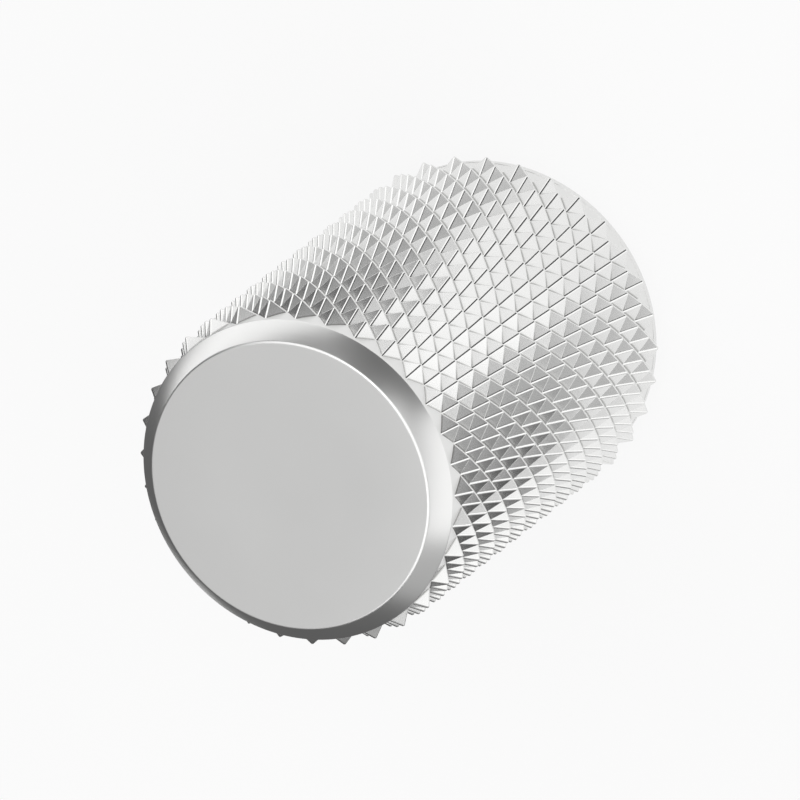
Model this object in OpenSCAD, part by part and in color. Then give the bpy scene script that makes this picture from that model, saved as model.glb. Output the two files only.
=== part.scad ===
// Knurled cabinet knob, turned from one solid bar of metal.
// Z runs along the knob's axis: z = 0 is the flat rear face that is drawn up
// against the drawer or door front, and the polished front face is at z = body_len.
// The grip is a band of four-sided points standing on a plain round body.
// One tapped hole in the rear face takes the fixing screw.

/* [Body] */
// Length from the rear face to the front face
body_len = 26.2; // [16:0.1:60]
// Diameter of the plain round body that the knurl stands on
body_d = 16.7; // [12:0.1:40]

/* [Front end] */
// Length of the front chamfer along the axis
chamfer_h = 1.0; // [0.4:0.1:3]
// Width of the front chamfer across the axis
chamfer_w = 0.87; // [0.3:0.01:2.5]
// Width of the small break where the front face meets the chamfer
edge_break = 0.12; // [0.05:0.01:0.25]

/* [Knurl] */
// Number of points in one row around the body
teeth_around = 32; // [12:1:48]
// Wanted length of one point along the axis, adjusted to a whole number of rows
tooth_len = 1.89; // [1:0.01:4]
// Height of each point above the plain body
tooth_h = 0.65; // [0.2:0.05:1]
// Plain strip between the front chamfer and the first row of points
front_land = 0.2; // [0.1:0.1:4]
// Plain strip between the last row of points and the rear face
rear_land = 0.4; // [0.2:0.1:4]

/* [Fixing hole] */
// Diameter of the hole over the screw thread's crests
hole_d = 3.3; // [2:0.1:6]
// Depth of the full diameter from the rear face
hole_depth = 12; // [5:0.5:13]
// Included angle of the drill point at the bottom of the hole
drill_angle = 118; // [90:1:140]
// Width of the countersink at the mouth, on the radius
mouth_w = 0.35; // [0.1:0.05:1]

/* [Hidden] */

// How far the plain strips stand proud of the knurl's roots
land_proud = 0.01;
// How far a cutter runs past the face that it cuts
cut_over = 1;
// Facets of the round surfaces
round_fn = 128;

body_r = body_d / 2;
face_r = body_r - chamfer_w;
root_r = body_r - land_proud;
crest_r = body_r + tooth_h;

// The knurled band, and the whole rows of points that it holds
knurl_z0 = rear_land;
knurl_z1 = body_len - chamfer_h - front_land;
tooth_rows = max(1, round((knurl_z1 - knurl_z0) / tooth_len));

// The band's grid has a corner at every half point, around and along
grid_cols = 2 * teeth_around;
grid_rings = 2 * tooth_rows + 1;
ring_step = (knurl_z1 - knurl_z0) / (grid_rings - 1);

// The hole: tip of the drill point
hole_r = hole_d / 2;
point_h = hole_r / tan(drill_angle / 2);

// A corner is a tip where its ring and column numbers add up to an odd number.
// The two end rings have none, so every point in the band is a whole one.
function is_tip(ring, col) =
    ring > 0 && ring < grid_rings - 1 && (ring + col) % 2 == 1;

function corner(ring, col) =
    let (
        r = is_tip(ring, col) ? crest_r : root_r,
        a = 360 * col / grid_cols
    )
    [r * cos(a), r * sin(a), knurl_z0 + ring * ring_step];

function at(ring, col) = ring * grid_cols + col % grid_cols;

// Two triangles per grid cell, parted along the groove between the points
function cell(ring, col) =
    (ring + col) % 2 == 0
    ? [
        [at(ring, col), at(ring + 1, col), at(ring + 1, col + 1)],
        [at(ring, col), at(ring + 1, col + 1), at(ring, col + 1)]
    ]
    : [
        [at(ring, col), at(ring + 1, col), at(ring, col + 1)],
        [at(ring, col + 1), at(ring + 1, col), at(ring + 1, col + 1)]
    ];

// The knurled band: rings of corners joined by the cells and closed by two flat ends
module knurled_band() {
    points = [
        for (ring = [0:grid_rings - 1])
            for (col = [0:grid_cols - 1])
                corner(ring, col)
    ];
    sides = [
        for (ring = [0:grid_rings - 2])
            for (col = [0:grid_cols - 1])
                each cell(ring, col)
    ];
    rear_end = [for (col = [0:grid_cols - 1]) at(0, col)];
    front_end = [for (col = [grid_cols - 1:-1:0]) at(grid_rings - 1, col)];
    polyhedron(points = points, faces = concat(sides, [rear_end, front_end]));
}

// The turned front end: plain strip, chamfer, broken edge and flat face
module front_end() {
    slope = chamfer_w / chamfer_h;
    rotate_extrude($fn = round_fn)
        polygon([
            [0, knurl_z1],
            [body_r, knurl_z1],
            [body_r, body_len - chamfer_h],
            [face_r + slope * edge_break / 2, body_len - edge_break / 2],
            [face_r - edge_break / 2, body_len],
            [0, body_len]
        ]);
}

// The turned rear end: the plain strip beside the mounting face
module rear_end() {
    cylinder(r = body_r, h = rear_land, $fn = round_fn);
}

// The blind screw hole with its drill point and countersunk mouth
module fixing_hole() {
    translate([0, 0, -cut_over])
        cylinder(r = hole_r, h = hole_depth + cut_over, $fn = round_fn);
    translate([0, 0, hole_depth])
        cylinder(r1 = hole_r, r2 = 0, h = point_h, $fn = round_fn);
    translate([0, 0, -cut_over])
        cylinder(
            r1 = hole_r + mouth_w + cut_over,
            r2 = hole_r,
            h = mouth_w + cut_over,
            $fn = round_fn
        );
}

module knob() {
    color("silver")
        difference() {
            union() {
                rear_end();
                knurled_band();
                front_end();
            }
            fixing_hole();
        }
}

knob();
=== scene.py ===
# Knurled cabinet knob in bright stainless steel, standing near the corner of a pale table top.
# Every length is in metres. The knob's axis is Z, and its flat rear face lies at z = 0.

import math

import bmesh
import bpy
from mathutils import Matrix, Vector


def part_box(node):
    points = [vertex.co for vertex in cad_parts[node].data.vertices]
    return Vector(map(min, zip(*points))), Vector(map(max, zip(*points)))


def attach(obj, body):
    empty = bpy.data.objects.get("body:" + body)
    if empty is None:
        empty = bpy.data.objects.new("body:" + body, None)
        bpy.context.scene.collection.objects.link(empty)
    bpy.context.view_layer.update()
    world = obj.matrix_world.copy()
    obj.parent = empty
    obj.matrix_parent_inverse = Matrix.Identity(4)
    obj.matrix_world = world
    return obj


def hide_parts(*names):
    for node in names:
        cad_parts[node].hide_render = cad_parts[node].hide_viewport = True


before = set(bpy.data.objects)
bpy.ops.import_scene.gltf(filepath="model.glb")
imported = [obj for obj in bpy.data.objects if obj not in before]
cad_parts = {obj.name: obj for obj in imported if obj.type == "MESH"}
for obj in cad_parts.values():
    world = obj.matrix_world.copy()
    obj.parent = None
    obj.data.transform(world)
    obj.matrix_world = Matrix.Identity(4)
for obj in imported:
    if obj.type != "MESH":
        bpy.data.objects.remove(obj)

bl_info = {
    "name": "Knurled Cabinet Knob",
    "version": (1, 0, 0),
    "blender": (4, 5, 0),
    "location": "View3D > Sidebar > Knob",
    "description": "Builds a knurled metal cabinet knob and a small studio for it",
    "category": "Mesh",
}

CAD_NODE = "knob"
CAD_BODY = "root"
CAD_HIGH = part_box(CAD_NODE)[1]
MM = 0.001

# The plain strips stand this much proud of the knurl's roots
LAND_PROUD = 0.01 * MM
# Flat faces round the turned body, and the sharpest corner that is still shaded smooth
BODY_SEGMENTS = 192
SMOOTH_DEGREES = 20
# Points nearer together than this are one point
MERGE_DISTANCE = 0.0005 * MM
# Flat faces in one turn of the screw thread
THREAD_SEGMENTS = 32
# The point on the knob's axis that every lamp is turned towards
LAMP_AIM = Vector((0.0, 0.0, 15 * MM))


def linear_colour(hex_code):
    """Turn an sRGB colour written #rrggbb into linear red, green, blue and alpha."""
    channels = []
    for start in (1, 3, 5):
        value = int(hex_code[start:start + 2], 16) / 255
        if value <= 0.04045:
            channels.append(value / 12.92)
        else:
            channels.append(((value + 0.055) / 1.055) ** 2.4)
    return (*channels, 1.0)


def length(name, description, default):
    """A size in metres that a user can change."""
    return bpy.props.FloatProperty(
        name=name, description=description, default=default, min=0.0,
        precision=5, subtype="DISTANCE", unit="LENGTH",
    )


def angle(name, description, degrees):
    """An angle that a user can change, written in degrees and kept in radians."""
    return bpy.props.FloatProperty(
        name=name, description=description, default=math.radians(degrees),
        subtype="ANGLE", unit="ROTATION",
    )


def factor(name, description, default):
    """A share from 0 to 1 that a user can change."""
    return bpy.props.FloatProperty(
        name=name, description=description, default=default, min=0.0, max=1.0, subtype="FACTOR",
    )


def colour(name, description, hex_code):
    """A colour that a user can change, written as an sRGB hex value."""
    return bpy.props.FloatVectorProperty(
        name=name, description=description, default=linear_colour(hex_code),
        size=4, min=0.0, max=1.0, subtype="COLOR",
    )


class KnobSizes(bpy.types.PropertyGroup):
    """Sizes of the turned body, the knurl and the tapped hole."""

    body_length: length("Length", "Rear face to front face", CAD_HIGH[2])
    crest_radius: length("Crest radius", "Axis to the tips of the knurl", CAD_HIGH[0])
    body_radius: length("Body radius", "Axis to the plain body", 8.35 * MM)
    chamfer_height: length("Chamfer height", "Front chamfer, along the axis", 1.0 * MM)
    chamfer_width: length("Chamfer width", "Front chamfer, across the axis", 0.87 * MM)
    face_edge: length("Face edge", "Rounding where the face meets the chamfer", 0.22 * MM)
    body_edge: length("Body edge", "Rounding where the chamfer meets the body", 0.1 * MM)
    rear_edge: length("Rear edge", "Rounding round the rear face", 0.12 * MM)
    front_land: length("Front land", "Plain strip behind the front chamfer", 0.2 * MM)
    rear_land: length("Rear land", "Plain strip beside the rear face", 0.4 * MM)
    points_around: bpy.props.IntProperty(
        name="Points around", description="Knurl points in one row", default=32, min=8, max=64
    )
    point_rows: bpy.props.IntProperty(
        name="Point rows", description="Whole rows of points along the grip", default=13, min=1
    )
    ridge_radius: length("Ridge radius", "Rounding of each point's ridges and tip", 0.1 * MM)
    hole_radius: length("Hole radius", "Axis to the crests of the screw thread", 1.65 * MM)
    thread_root: length("Thread root", "Axis to the bottom of the thread's groove", 2.0 * MM)
    thread_pitch: length("Thread pitch", "Length of one turn of the thread", 0.7 * MM)
    thread_length: length("Thread length", "Depth of the tapped part of the hole", 10.8 * MM)
    hole_depth: length("Hole depth", "Depth of the drilled hole", 12.0 * MM)
    drill_angle: angle("Drill angle", "Included angle of the hole's bottom", 118.0)


class KnobFinish(bpy.types.PropertyGroup):
    """Colours and surface detail of the steel."""

    steel: colour("Steel", "Clean stainless steel", "#e9e9e8")
    # Painted shade: the darker steel colour at the bottom of the knurl's grooves
    painted_groove_shade: colour("Groove steel", "Steel at the bottom of the knurl", "#a6a6a4")
    face_roughness: factor("Face roughness", "Roughness of the turned surfaces", 0.3)
    grip_roughness: factor("Grip roughness", "Roughness of the knurled surfaces", 0.22)
    ridge_roughness: factor("Ridge roughness", "Roughness of the burnished ridges and tips", 0.12)
    turning_pitch: length("Turning pitch", "Spacing of the fine turning lines", 0.16 * MM)
    turning_depth: factor("Turning depth", "Strength of the turning lines", 0.03)


class StageSettings(bpy.types.PropertyGroup):
    """Camera, floor and light."""

    view_azimuth: angle("Azimuth", "Camera's turn round the knob's axis", 85.35)
    view_elevation: angle("Elevation", "Camera's height above the floor", 59.46)
    view_roll: angle("Roll", "Camera's turn about its own line of sight", 127.9)
    view_width: length("Width", "Width of the picture", 39.54 * MM)
    aim_right: length("Aim right", "Picture's centre, right of the front face's", 5.44 * MM)
    aim_up: length("Aim up", "Picture's centre, above the front face's", 4.24 * MM)
    camera_distance: length("Camera distance", "Camera to the front face", 300 * MM)
    floor_turn: angle("Floor turn", "Turn of the table top about the knob's axis", -42.0)
    floor_size: length("Floor size", "Side of the square table top", 280 * MM)
    floor_margin_x: length("First margin", "Knob's axis to the table's first near edge", 27.2 * MM)
    floor_margin_y: length("Second margin", "Knob's axis to the second near edge", 29.8 * MM)
    floor_drop: length("Floor drop", "Gap between the rear face and the table top", 0.02 * MM)
    floor: colour("Floor", "Pale matt board", "#f2f2f2")
    floor_glow: factor("Floor glow", "Share of plain white in the board that is seen", 0.85)
    world: colour("World", "Grey of the room round the lamps", "#5e5e5e")


# ---------------------------------------------------------------------------
# Small helpers


def add_node(tree, kind, settings, inputs):
    """Add a node; each input is a plain value, or a socket that it is linked from."""
    node = tree.nodes.new(kind)
    for name, value in settings.items():
        setattr(node, name, value)
    for key, value in inputs.items():
        socket = node.inputs[key]
        if isinstance(value, bpy.types.NodeSocket):
            tree.links.new(value, socket)
        else:
            socket.default_value = value
    return node


def new_object(name, mesh):
    """Put a mesh in the scene as an object at the origin."""
    piece = bpy.data.objects.new(name, mesh)
    bpy.context.scene.collection.objects.link(piece)
    return piece


def claim_piece(piece):
    """Tie a finished piece to its body in the frame, and hide the CAD solid it stands for."""
    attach(piece, CAD_BODY)
    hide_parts(CAD_NODE)


def bake_nodes(piece, tree, values, name):
    """Run a node tree on a piece with the given input values and keep the result as its mesh."""
    modifier = piece.modifiers.new(name, "NODES")
    modifier.node_group = tree
    for item in tree.interface.items_tree:
        if item.in_out == "INPUT" and item.name in values:
            modifier[item.identifier] = values[item.name]
    evaluated = piece.evaluated_get(bpy.context.evaluated_depsgraph_get())
    mesh = bpy.data.meshes.new_from_object(evaluated)
    mesh.name = name
    seed_mesh = piece.data
    piece.modifiers.remove(modifier)
    piece.data = mesh
    bpy.data.meshes.remove(seed_mesh)
    if not mesh.polygons:
        raise RuntimeError(f"{name}: the node tree made no faces")


def arc(centre, radius, start, end, steps):
    """Points (r, z) on an arc round a centre, between two directions in degrees."""
    points = []
    for step in range(steps + 1):
        turn = math.radians(start + (end - start) * step / steps)
        points.append((centre[0] + radius * math.cos(turn), centre[1] + radius * math.sin(turn)))
    return points


# ---------------------------------------------------------------------------
# Materials


def turned_steel_material(finish):
    """Stainless steel turned on a lathe and lightly polished.

    To the eye it is a bright satin metal: soft-edged reflections, and hair-fine
    rings left by the tool on the face and the chamfer.
    """
    material = bpy.data.materials.new("turned_stainless_steel")
    material.use_nodes = True
    tree = material.node_tree
    tree.nodes.clear()
    place = add_node(tree, "ShaderNodeTexCoord", {}, {})
    parts = add_node(tree, "ShaderNodeSeparateXYZ", {}, {"Vector": place.outputs["Object"]})
    flat = add_node(tree, "ShaderNodeCombineXYZ", {}, {
        "X": parts.outputs["X"], "Y": parts.outputs["Y"],
    })
    radius = add_node(tree, "ShaderNodeVectorMath", {"operation": "LENGTH"}, {
        0: flat.outputs["Vector"],
    })
    # The tool's feed is about 0.05 mm a turn; the lines are drawn three times coarser so
    # that they show at all.
    across = add_node(tree, "ShaderNodeMath", {"operation": "DIVIDE"}, {
        0: radius.outputs["Value"], 1: finish.turning_pitch,
    })
    lines = add_node(tree, "ShaderNodeTexNoise", {"noise_dimensions": "1D"}, {
        "W": across.outputs["Value"], "Scale": 1.0, "Detail": 2.0, "Roughness": 0.6,
    })
    # Broad, faint patches from hand polishing, some 4 mm across
    patches = add_node(tree, "ShaderNodeTexNoise", {}, {
        "Vector": place.outputs["Object"], "Scale": 1 / (4 * MM), "Detail": 2.0,
    })
    rough = add_node(tree, "ShaderNodeMapRange", {}, {
        "Value": patches.outputs["Fac"], "From Min": 0.3, "From Max": 0.7,
        "To Min": finish.face_roughness - 0.02, "To Max": finish.face_roughness + 0.02,
    })
    bump = add_node(tree, "ShaderNodeBump", {}, {
        "Height": lines.outputs["Fac"], "Strength": finish.turning_depth, "Distance": 0.02 * MM,
    })
    shader = add_node(tree, "ShaderNodeBsdfPrincipled", {}, {
        "Base Color": finish.steel, "Metallic": 1.0,
        "Roughness": rough.outputs["Result"], "Normal": bump.outputs["Normal"],
    })
    add_node(tree, "ShaderNodeOutputMaterial", {}, {"Surface": shader.outputs["BSDF"]})
    return material


def knurled_steel_material(finish, sizes):
    """Stainless steel pressed by knurling rolls.

    To the eye the flanks are clean and satin, and the grooves are slightly duller; painted shade
    darkens the steel at their bottoms.
    """
    material = bpy.data.materials.new("knurled_stainless_steel")
    material.use_nodes = True
    tree = material.node_tree
    tree.nodes.clear()
    place = add_node(tree, "ShaderNodeTexCoord", {}, {})
    parts = add_node(tree, "ShaderNodeSeparateXYZ", {}, {"Vector": place.outputs["Object"]})
    flat = add_node(tree, "ShaderNodeCombineXYZ", {}, {
        "X": parts.outputs["X"], "Y": parts.outputs["Y"],
    })
    radius = add_node(tree, "ShaderNodeVectorMath", {"operation": "LENGTH"}, {
        0: flat.outputs["Vector"],
    })
    # Painted shade: within 0.06 mm of the grooves' bottoms the steel turns to the darker groove
    # colour
    depth = add_node(tree, "ShaderNodeMapRange", {}, {
        "Value": radius.outputs["Value"],
        "From Min": sizes.body_radius - LAND_PROUD, "From Max": sizes.body_radius + 0.06 * MM,
    })
    groove_shade_tone = add_node(tree, "ShaderNodeMix", {"data_type": "RGBA"}, {
        "Factor": depth.outputs["Result"], "A": finish.painted_groove_shade, "B": finish.steel,
    })
    # Rolled metal has a grain of about 0.05 mm; it is drawn at 0.25 mm so that it shows
    grain = add_node(tree, "ShaderNodeTexNoise", {}, {
        "Vector": place.outputs["Object"], "Scale": 1 / (0.25 * MM),
        "Detail": 3.0, "Roughness": 0.55,
    })
    worn = add_node(tree, "ShaderNodeMapRange", {}, {
        "Value": radius.outputs["Value"],
        "From Min": sizes.body_radius, "From Max": sizes.crest_radius,
        "To Min": finish.grip_roughness + 0.05, "To Max": finish.grip_roughness - 0.05,
    })
    bump = add_node(tree, "ShaderNodeBump", {}, {
        "Height": grain.outputs["Fac"], "Strength": 0.02, "Distance": 0.03 * MM,
    })
    shader = add_node(tree, "ShaderNodeBsdfPrincipled", {}, {
        "Base Color": groove_shade_tone.outputs["Result"], "Metallic": 1.0,
        "Roughness": worn.outputs["Result"], "Normal": bump.outputs["Normal"],
    })
    add_node(tree, "ShaderNodeOutputMaterial", {}, {"Surface": shader.outputs["BSDF"]})
    return material


def burnished_steel_material(finish):
    """Stainless steel that hands and cloths have rubbed bright.

    To the eye each ridge and tip is a thin, sharp line, brighter or darker than the
    flanks beside it.
    """
    material = bpy.data.materials.new("burnished_stainless_steel")
    material.use_nodes = True
    tree = material.node_tree
    tree.nodes.clear()
    place = add_node(tree, "ShaderNodeTexCoord", {}, {})
    # Wear comes and goes along the grip, in patches of some 2 mm
    wear = add_node(tree, "ShaderNodeTexNoise", {}, {
        "Vector": place.outputs["Object"], "Scale": 1 / (2 * MM), "Detail": 2.0,
    })
    rough = add_node(tree, "ShaderNodeMapRange", {}, {
        "Value": wear.outputs["Fac"], "From Min": 0.3, "From Max": 0.7,
        "To Min": finish.ridge_roughness - 0.03, "To Max": finish.ridge_roughness + 0.03,
    })
    shader = add_node(tree, "ShaderNodeBsdfPrincipled", {}, {
        "Base Color": finish.steel, "Metallic": 1.0, "Roughness": rough.outputs["Result"],
    })
    add_node(tree, "ShaderNodeOutputMaterial", {}, {"Surface": shader.outputs["BSDF"]})
    return material


# ---------------------------------------------------------------------------
# Turned body


def front_corner(sizes):
    """Rounded corners (r, z) at the two ends of the front chamfer, from the body inwards."""
    slope = math.degrees(math.atan2(sizes.chamfer_width, sizes.chamfer_height))
    outer_z = sizes.body_length - sizes.chamfer_height
    face_radius = sizes.body_radius - sizes.chamfer_width

    outer_setback = sizes.body_edge * math.tan(math.radians(slope / 2))
    outer = arc(
        (sizes.body_radius - sizes.body_edge, outer_z - outer_setback),
        sizes.body_edge, 0, slope, steps=3,
    )
    face_setback = sizes.face_edge * math.tan(math.radians((90 - slope) / 2))
    inner = arc(
        (face_radius - face_setback, sizes.body_length - sizes.face_edge),
        sizes.face_edge, slope, 90, steps=5,
    )
    return outer + inner


def body_profile(sizes):
    """Half outline (r, z) of the turned body, from the front face round to the hole's tip."""
    root = sizes.body_radius - LAND_PROUD
    knurl_end = sizes.body_length - sizes.chamfer_height - sizes.front_land
    tip_height = sizes.hole_radius / math.tan(sizes.drill_angle / 2)
    lead_in = 0.12 * MM
    # Past its last turn the groove runs on a little and then tapers out
    tapped_end = sizes.thread_length + 0.2 * MM
    taper_end = tapped_end + 0.3 * MM
    rear = arc(
        (sizes.body_radius - sizes.rear_edge, sizes.rear_edge),
        sizes.rear_edge, 0, -90, steps=4,
    )
    front = front_corner(sizes)
    front.reverse()
    return (
        [(0.0, sizes.body_length), (sizes.body_radius / 2, sizes.body_length)]
        + front
        + [
            (sizes.body_radius, knurl_end),
            (root, knurl_end),
            (root, sizes.rear_land),
            (sizes.body_radius, sizes.rear_land),
        ]
        + rear
        + [
            (sizes.body_radius / 2, 0.0),
            (sizes.thread_root + lead_in, 0.0),
            (sizes.thread_root, lead_in),
            (sizes.thread_root, tapped_end),
            (sizes.hole_radius, taper_end),
            (sizes.hole_radius, sizes.hole_depth),
            (0.0, sizes.hole_depth + tip_height),
        ]
    )


def spin_profile(name, profile):
    """Spin a half outline round Z into a closed mesh with crisp corners."""
    shape = bmesh.new()
    ring = [shape.verts.new((r, 0.0, z)) for r, z in profile]
    edges = [shape.edges.new(pair) for pair in zip(ring, ring[1:])]
    bmesh.ops.spin(
        shape, geom=ring + edges, cent=(0, 0, 0), axis=(0, 0, 1),
        angle=math.tau, steps=BODY_SEGMENTS, use_merge=True,
    )
    bmesh.ops.remove_doubles(shape, verts=shape.verts, dist=MERGE_DISTANCE)
    bmesh.ops.recalc_face_normals(shape, faces=shape.faces)
    for face in shape.faces:
        face.smooth = True
    for edge in shape.edges:
        edge.smooth = edge.calc_face_angle(0.0) < math.radians(SMOOTH_DEGREES)
    mesh = bpy.data.meshes.new(name)
    shape.to_mesh(mesh)
    shape.free()
    return mesh


class KNOB_OT_turned_body(bpy.types.Operator):
    """Turn the knob's body: front face, chamfer, plain strips, rear face and drilled hole"""

    bl_idname = "knob.turned_body"
    bl_label = "Turned Body"

    def execute(self, context):
        sizes = context.scene.knob_sizes
        mesh = spin_profile("turned_body", body_profile(sizes))
        mesh.materials.append(turned_steel_material(context.scene.knob_finish))
        claim_piece(new_object("turned_body", mesh))
        return {"FINISHED"}


# ---------------------------------------------------------------------------
# Knurled grip


def knurl_point_mesh(sizes, row_step):
    """One four-sided knurl point with rounded ridges and tip, on the +X side of the body.

    The point is a rounded pyramid. Each ridge is a strip of small faces that turns from
    one flank to the next, and the tip is a grid of faces that joins the four ridges.
    """
    strips = 3
    # The ridges run on past the body's surface by a twentieth of their length
    sink = 1.05
    half_turn = math.pi / sizes.points_around
    root = sizes.body_radius - LAND_PROUD
    side = Vector((root * math.cos(half_turn), root * math.sin(half_turn), 0.0))
    end = Vector((root, 0.0, row_step))

    # A flank through the sharp tip and two root corners gives the direction it faces.
    # The sharp tip is raised first, so that the rounded one comes close to the crest radius.
    sharp = Vector((sizes.crest_radius, 0.0, 0.0))
    flank = (side - sharp).cross(end - sharp).normalized()
    rise = sizes.ridge_radius * (1 / flank.x - 1)
    sharp.x += rise
    flank = (side - sharp).cross(end - sharp).normalized()
    centre = sharp - Vector((sizes.ridge_radius / flank.x, 0.0, 0.0))

    shape = bmesh.new()
    rubbed = shape.faces.layers.int.new("rubbed")
    tip = {}
    for i in range(strips + 1):
        for j in range(strips + 1):
            across = 2 * i / strips - 1
            along = 2 * j / strips - 1
            facing = Vector((flank.x, across * flank.y, along * flank.z)).normalized()
            tip[i, j] = shape.verts.new(centre + facing * sizes.ridge_radius)

    def ridge(corners, root_corner):
        """Run one edge of the tip down its ridge, past the body's surface."""
        drop = (root_corner - sharp) * sink
        return [shape.verts.new(corner.co + drop) for corner in corners]

    last = strips
    mirrored_side = Vector((side.x, -side.y, 0.0))
    mirrored_end = Vector((end.x, 0.0, -end.z))
    edges = [
        ([tip[last, j] for j in range(last + 1)], side),
        ([tip[i, last] for i in range(last, -1, -1)], end),
        ([tip[0, j] for j in range(last, -1, -1)], mirrored_side),
        ([tip[i, 0] for i in range(last + 1)], mirrored_end),
    ]
    feet = [ridge(corners, root_corner) for corners, root_corner in edges]

    for i in range(strips):
        for j in range(strips):
            face = shape.faces.new([
                tip[i, j], tip[i + 1, j], tip[i + 1, j + 1], tip[i, j + 1],
            ])
            face.smooth = True
            face[rubbed] = 1
    tip_edges = shape.edges[:]
    for (corners, _), foot in zip(edges, feet):
        for k in range(strips):
            face = shape.faces.new((corners[k], foot[k], foot[k + 1], corners[k + 1]))
            face.smooth = True
            face[rubbed] = 1
    for k in range(4):
        corners = edges[k][0]
        shape.faces.new((corners[last], feet[k][last], feet[(k + 1) % 4][0]))
    shape.faces.new([vert for foot in feet for vert in foot])
    # The tip's rim is crisp, so that its shading doesn't run on down the ridges
    rim = {vert for corners, _ in edges for vert in corners}
    for edge in tip_edges:
        edge.smooth = not (edge.verts[0] in rim and edge.verts[1] in rim)
    bmesh.ops.recalc_face_normals(shape, faces=shape.faces)
    mesh = bpy.data.meshes.new("knurl_point")
    shape.to_mesh(mesh)
    shape.free()
    return mesh


def knurl_tree():
    """Node tree that repeats one point in rows round the body, every other row half a step on."""
    tree = bpy.data.node_groups.new("knurled_rows", "GeometryNodeTree")
    face = tree.interface
    face.new_socket("Point", in_out="INPUT", socket_type="NodeSocketGeometry")
    face.new_socket("Points Around", in_out="INPUT", socket_type="NodeSocketInt")
    face.new_socket("Rows", in_out="INPUT", socket_type="NodeSocketInt")
    face.new_socket("First Row", in_out="INPUT", socket_type="NodeSocketFloat")
    face.new_socket("Row Step", in_out="INPUT", socket_type="NodeSocketFloat")
    face.new_socket("Metal", in_out="INPUT", socket_type="NodeSocketMaterial")
    face.new_socket("Ridge Metal", in_out="INPUT", socket_type="NodeSocketMaterial")
    face.new_socket("Grip", in_out="OUTPUT", socket_type="NodeSocketGeometry")
    given = add_node(tree, "NodeGroupInput", {}, {}).outputs

    total = add_node(tree, "ShaderNodeMath", {"operation": "MULTIPLY"}, {
        0: given["Points Around"], 1: given["Rows"],
    })
    points = add_node(tree, "GeometryNodePoints", {}, {"Count": total.outputs[0]})
    index = add_node(tree, "GeometryNodeInputIndex", {}, {})
    share = add_node(tree, "ShaderNodeMath", {"operation": "DIVIDE"}, {
        0: index.outputs["Index"], 1: given["Points Around"],
    })
    row = add_node(tree, "ShaderNodeMath", {"operation": "FLOOR"}, {0: share.outputs[0]})
    place_in_row = add_node(tree, "ShaderNodeMath", {"operation": "SUBTRACT"}, {
        0: share.outputs[0], 1: row.outputs[0],
    })
    half_step = add_node(tree, "ShaderNodeMath", {"operation": "DIVIDE"}, {
        0: 0.5, 1: given["Points Around"],
    })
    odd_row = add_node(tree, "ShaderNodeMath", {"operation": "MODULO"}, {
        0: row.outputs[0], 1: 2.0,
    })
    turns = add_node(tree, "ShaderNodeMath", {"operation": "MULTIPLY_ADD"}, {
        0: odd_row.outputs[0], 1: half_step.outputs[0], 2: place_in_row.outputs[0],
    })
    turn = add_node(tree, "ShaderNodeMath", {"operation": "MULTIPLY"}, {
        0: turns.outputs[0], 1: math.tau,
    })
    height = add_node(tree, "ShaderNodeMath", {"operation": "MULTIPLY_ADD"}, {
        0: row.outputs[0], 1: given["Row Step"], 2: given["First Row"],
    })
    spot = add_node(tree, "ShaderNodeCombineXYZ", {}, {"Z": height.outputs[0]})
    spread = add_node(tree, "GeometryNodeSetPosition", {}, {
        "Geometry": points.outputs["Points"], "Position": spot.outputs["Vector"],
    })
    facing = add_node(tree, "FunctionNodeAxisAngleToRotation", {}, {
        "Axis": (0.0, 0.0, 1.0), "Angle": turn.outputs[0],
    })
    rows = add_node(tree, "GeometryNodeInstanceOnPoints", {}, {
        "Points": spread.outputs["Geometry"], "Instance": given["Point"],
        "Rotation": facing.outputs["Rotation"],
    })
    real = add_node(tree, "GeometryNodeRealizeInstances", {}, {
        "Geometry": rows.outputs["Instances"],
    })
    metal = add_node(tree, "GeometryNodeSetMaterial", {}, {
        "Geometry": real.outputs["Geometry"], "Material": given["Metal"],
    })
    rubbed = add_node(tree, "GeometryNodeInputNamedAttribute", {"data_type": "INT"}, {
        "Name": "rubbed",
    })
    ridges = add_node(tree, "GeometryNodeSetMaterial", {}, {
        "Geometry": metal.outputs["Geometry"], "Selection": rubbed.outputs["Attribute"],
        "Material": given["Ridge Metal"],
    })
    add_node(tree, "NodeGroupOutput", {}, {"Grip": ridges.outputs["Geometry"]})
    return tree


class KNOB_OT_knurled_grip(bpy.types.Operator):
    """Cover the body with rows of four-sided points, each row half a step on from the last"""

    bl_idname = "knob.knurled_grip"
    bl_label = "Knurled Grip"

    def execute(self, context):
        sizes = context.scene.knob_sizes
        knurl_end = sizes.body_length - sizes.chamfer_height - sizes.front_land
        row_step = (knurl_end - sizes.rear_land) / (2 * sizes.point_rows)
        grip = new_object("knurled_grip", knurl_point_mesh(sizes, row_step))
        values = {
            "Points Around": sizes.points_around,
            "Rows": 2 * sizes.point_rows - 1,
            "First Row": sizes.rear_land + row_step,
            "Row Step": row_step,
            "Metal": knurled_steel_material(context.scene.knob_finish, sizes),
            "Ridge Metal": burnished_steel_material(context.scene.knob_finish),
        }
        bake_nodes(grip, knurl_tree(), values, "knurled_grip")
        claim_piece(grip)
        return {"FINISHED"}


# ---------------------------------------------------------------------------
# Screw thread


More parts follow.
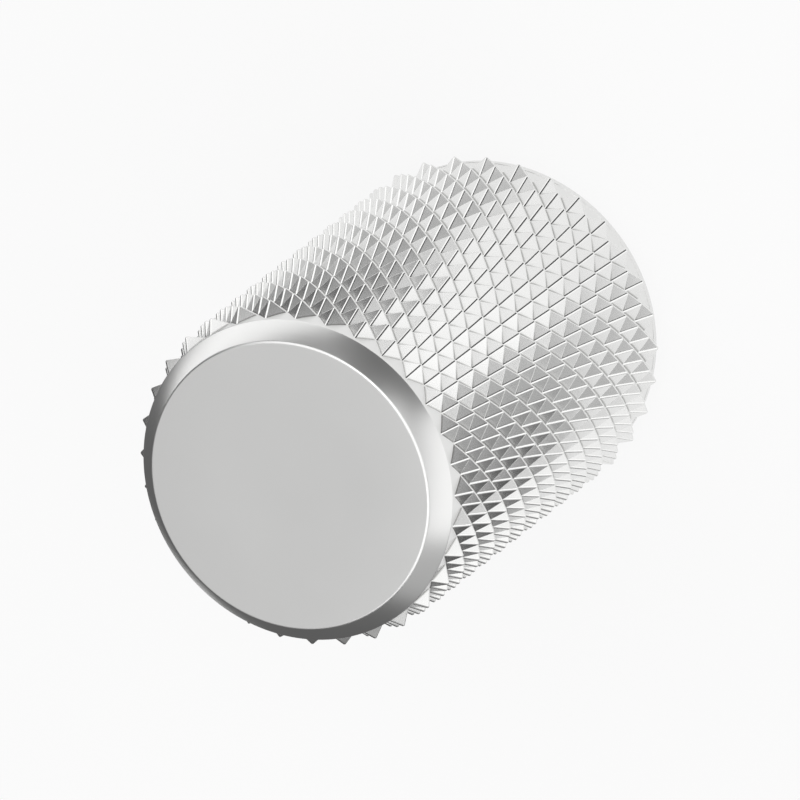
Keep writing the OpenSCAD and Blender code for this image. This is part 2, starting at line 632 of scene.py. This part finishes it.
def thread_tree():
    """Node tree that sweeps a ridge of thread up the wall of the hole."""
    tree = bpy.data.node_groups.new("screw_thread", "GeometryNodeTree")
    face = tree.interface
    face.new_socket("Ridge", in_out="INPUT", socket_type="NodeSocketGeometry")
    face.new_socket("Wall Radius", in_out="INPUT", socket_type="NodeSocketFloat")
    face.new_socket("Length", in_out="INPUT", socket_type="NodeSocketFloat")
    face.new_socket("Pitch", in_out="INPUT", socket_type="NodeSocketFloat")
    face.new_socket("Steps per Turn", in_out="INPUT", socket_type="NodeSocketInt")
    face.new_socket("Metal", in_out="INPUT", socket_type="NodeSocketMaterial")
    face.new_socket("Thread", in_out="OUTPUT", socket_type="NodeSocketGeometry")
    given = add_node(tree, "NodeGroupInput", {}, {}).outputs

    turns = add_node(tree, "ShaderNodeMath", {"operation": "DIVIDE"}, {
        0: given["Length"], 1: given["Pitch"],
    })
    helix = add_node(tree, "GeometryNodeCurveSpiral", {}, {
        "Resolution": given["Steps per Turn"], "Rotations": turns.outputs[0],
        "Start Radius": given["Wall Radius"], "End Radius": given["Wall Radius"],
        "Height": given["Length"],
    })
    upright = add_node(tree, "GeometryNodeSetCurveNormal", {"mode": "Z_UP"}, {
        "Curve": helix.outputs["Curve"],
    })
    outline = add_node(tree, "GeometryNodeMeshToCurve", {}, {"Mesh": given["Ridge"]})
    swept = add_node(tree, "GeometryNodeCurveToMesh", {}, {
        "Curve": upright.outputs["Curve"], "Profile Curve": outline.outputs["Curve"],
        "Fill Caps": True,
    })
    real = add_node(tree, "GeometryNodeRealizeInstances", {}, {
        "Geometry": swept.outputs["Mesh"],
    })
    metal = add_node(tree, "GeometryNodeSetMaterial", {}, {
        "Geometry": real.outputs["Geometry"], "Material": given["Metal"],
    })
    add_node(tree, "NodeGroupOutput", {}, {"Thread": metal.outputs["Geometry"]})
    return tree


def thread_ridge_mesh(sizes):
    """Outline of the thread's ridge: a wide foot in the wall and a narrow flat crest."""
    height = sizes.thread_root - sizes.hole_radius
    sunk = 0.03 * MM
    half_foot = 0.44 * sizes.thread_pitch
    half_crest = 0.12 * sizes.thread_pitch
    outline = [
        (height, -half_crest),
        (height, half_crest),
        (-sunk, half_foot),
        (-sunk, -half_foot),
    ]
    shape = bmesh.new()
    corners = [shape.verts.new((across, along, 0.0)) for across, along in outline]
    for k in range(len(corners)):
        shape.edges.new((corners[k], corners[(k + 1) % len(corners)]))
    mesh = bpy.data.meshes.new("thread_ridge")
    shape.to_mesh(mesh)
    shape.free()
    return mesh


class KNOB_OT_screw_thread(bpy.types.Operator):
    """Cut the screw thread that the fixing screw runs in"""

    bl_idname = "knob.screw_thread"
    bl_label = "Screw Thread"

    def execute(self, context):
        sizes = context.scene.knob_sizes
        thread = new_object("screw_thread", thread_ridge_mesh(sizes))
        values = {
            "Wall Radius": sizes.thread_root,
            "Length": sizes.thread_length - sizes.thread_pitch,
            "Pitch": sizes.thread_pitch,
            "Steps per Turn": THREAD_SEGMENTS,
            "Metal": bpy.data.materials["turned_stainless_steel"],
        }
        bake_nodes(thread, thread_tree(), values, "screw_thread")
        first_turn = 0.5 * sizes.thread_pitch
        thread.data.transform(Matrix.Translation((0.0, 0.0, first_turn)))
        claim_piece(thread)
        return {"FINISHED"}


# ---------------------------------------------------------------------------
# Stage


def floor_material(stage):
    """Pale matt board under soft light.

    The eye, and the metal that mirrors it, sees an even white that keeps the knob's
    soft shadow: about a seventh of it is the lit board, and the rest is a plain white glow.
    """
    material = bpy.data.materials.new("pale_matt_board")
    material.use_nodes = True
    tree = material.node_tree
    tree.nodes.clear()
    path = add_node(tree, "ShaderNodeLightPath", {}, {})
    seen = add_node(tree, "ShaderNodeMath", {"operation": "MAXIMUM"}, {
        0: path.outputs["Is Camera Ray"], 1: path.outputs["Is Glossy Ray"],
    })
    shown = add_node(tree, "ShaderNodeMath", {"operation": "MAXIMUM"}, {
        0: seen.outputs["Value"], 1: path.outputs["Is Transmission Ray"],
    })
    glow_share = add_node(tree, "ShaderNodeMath", {"operation": "MULTIPLY"}, {
        0: shown.outputs["Value"], 1: stage.floor_glow,
    })
    board = add_node(tree, "ShaderNodeBsdfDiffuse", {}, {"Color": stage.floor})
    glow = add_node(tree, "ShaderNodeEmission", {}, {
        "Color": (1.0, 1.0, 1.0, 1.0), "Strength": 1.0,
    })
    mixed = add_node(tree, "ShaderNodeMixShader", {}, {
        0: glow_share.outputs["Value"], 1: board.outputs["BSDF"], 2: glow.outputs["Emission"],
    })
    add_node(tree, "ShaderNodeOutputMaterial", {}, {"Surface": mixed.outputs["Shader"]})
    return material


def add_floor(stage):
    """A square, pale table top under the knob's rear face, with the knob near one corner.

    Its two near edges end just outside the picture. Past them the metal mirrors the
    grey room, and that gives the knob its dark side.
    """
    across = direction(math.degrees(stage.floor_turn), 0)
    along = direction(math.degrees(stage.floor_turn) + 90, 0)
    drop = Vector((0.0, 0.0, -stage.floor_drop))
    near_x = stage.floor_margin_x
    far_x = near_x - stage.floor_size
    near_y = -stage.floor_margin_y
    far_y = near_y + stage.floor_size
    corners = [(far_x, near_y), (near_x, near_y), (near_x, far_y), (far_x, far_y)]
    shape = bmesh.new()
    shape.faces.new([shape.verts.new(across * x + along * y + drop) for x, y in corners])
    mesh = bpy.data.meshes.new("floor")
    shape.to_mesh(mesh)
    shape.free()
    mesh.materials.append(floor_material(stage))
    new_object("floor", mesh)


def direction(azimuth, elevation):
    """Unit vector from the knob's foot, from two angles in degrees."""
    turn = math.radians(azimuth)
    tilt = math.radians(elevation)
    return Vector((
        math.cos(tilt) * math.cos(turn),
        math.cos(tilt) * math.sin(turn),
        math.sin(tilt),
    ))


def add_softbox(name, azimuth, elevation, distance, width, height, brightness):
    """A rectangular soft lamp that faces the knob; brightness is that of its white cloth."""
    data = bpy.data.lights.new(name, "AREA")
    data.shape = "RECTANGLE"
    data.size = width
    data.size_y = height
    data.energy = brightness * math.pi * width * height
    lamp = bpy.data.objects.new(name, data)
    away = direction(azimuth, elevation)
    lamp.location = away * distance + LAMP_AIM
    lamp.rotation_mode = "QUATERNION"
    lamp.rotation_quaternion = away.to_track_quat("Z", "Y")
    lamp.visible_camera = False
    bpy.context.scene.collection.objects.link(lamp)


def add_camera(stage, body_length):
    """A straight-on camera with no perspective, turned to look at the knob from its front."""
    back = direction(math.degrees(stage.view_azimuth), math.degrees(stage.view_elevation))
    level_right = Vector((0.0, 0.0, 1.0)).cross(back).normalized()
    level_up = back.cross(level_right)
    roll = stage.view_roll
    right = level_right * math.cos(roll) - level_up * math.sin(roll)
    up = level_right * math.sin(roll) + level_up * math.cos(roll)
    data = bpy.data.cameras.new("camera")
    data.type = "ORTHO"
    data.ortho_scale = stage.view_width
    camera = bpy.data.objects.new("camera", data)
    aim = Vector((0.0, 0.0, body_length)) + right * stage.aim_right + up * stage.aim_up
    axes = Matrix((right, up, back)).transposed().to_4x4()
    camera.matrix_world = Matrix.Translation(aim + back * stage.camera_distance) @ axes
    bpy.context.scene.collection.objects.link(camera)
    bpy.context.scene.camera = camera


def set_world(stage):
    """An even grey room."""
    world = bpy.data.worlds.new("studio_room")
    world.use_nodes = True
    tree = world.node_tree
    tree.nodes.clear()
    room = add_node(tree, "ShaderNodeBackground", {}, {"Color": stage.world, "Strength": 1.0})
    add_node(tree, "ShaderNodeOutputWorld", {}, {"Surface": room.outputs["Background"]})
    bpy.context.scene.world = world


class KNOB_OT_studio(bpy.types.Operator):
    """Set up the floor, the soft lamps, the room and the camera"""

    bl_idname = "knob.studio"
    bl_label = "Studio"

    def execute(self, context):
        stage = context.scene.knob_stage
        add_floor(stage)
        # Each lamp's turn and height in degrees, its distance, its cloth's width and
        # height, and the cloth's brightness
        add_softbox("face_lamp", -90, 59, 400 * MM, 400 * MM, 400 * MM, 0.53)
        add_softbox("key_lamp", 35, 64, 450 * MM, 940 * MM, 480 * MM, 1.15)
        add_softbox("fill_lamp", 155, 56, 450 * MM, 440 * MM, 400 * MM, 1.15)
        add_softbox("right_lamp", 39, 4, 400 * MM, 510 * MM, 320 * MM, 1.12)
        add_softbox("edge_lamp", -10, 2, 400 * MM, 270 * MM, 300 * MM, 0.38)
        add_softbox("left_lamp", 178, 1, 400 * MM, 780 * MM, 200 * MM, 1.2)
        set_world(stage)
        add_camera(stage, context.scene.knob_sizes.body_length)
        context.scene.view_settings.view_transform = "Standard"
        return {"FINISHED"}


class KNOB_PT_panel(bpy.types.Panel):
    """Buttons that build the knob and its studio"""

    bl_idname = "KNOB_PT_panel"
    bl_label = "Knurled Knob"
    bl_space_type = "VIEW_3D"
    bl_region_type = "UI"
    bl_category = "Knob"

    def draw(self, context):
        column = self.layout.column()
        for operator in OPERATORS:
            column.operator(operator.bl_idname)


OPERATORS = (
    KNOB_OT_turned_body,
    KNOB_OT_knurled_grip,
    KNOB_OT_screw_thread,
    KNOB_OT_studio,
)
CLASSES = (KnobSizes, KnobFinish, StageSettings, *OPERATORS, KNOB_PT_panel)


def register():
    for cls in CLASSES:
        bpy.utils.register_class(cls)
    bpy.types.Scene.knob_sizes = bpy.props.PointerProperty(type=KnobSizes)
    bpy.types.Scene.knob_finish = bpy.props.PointerProperty(type=KnobFinish)
    bpy.types.Scene.knob_stage = bpy.props.PointerProperty(type=StageSettings)


def unregister():
    del bpy.types.Scene.knob_stage
    del bpy.types.Scene.knob_finish
    del bpy.types.Scene.knob_sizes
    for cls in reversed(CLASSES):
        bpy.utils.unregister_class(cls)


def main():
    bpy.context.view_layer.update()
    register()
    bpy.ops.knob.turned_body()
    bpy.ops.knob.knurled_grip()
    bpy.ops.knob.screw_thread()
    bpy.ops.knob.studio()


if __name__ == "__main__":
    main()
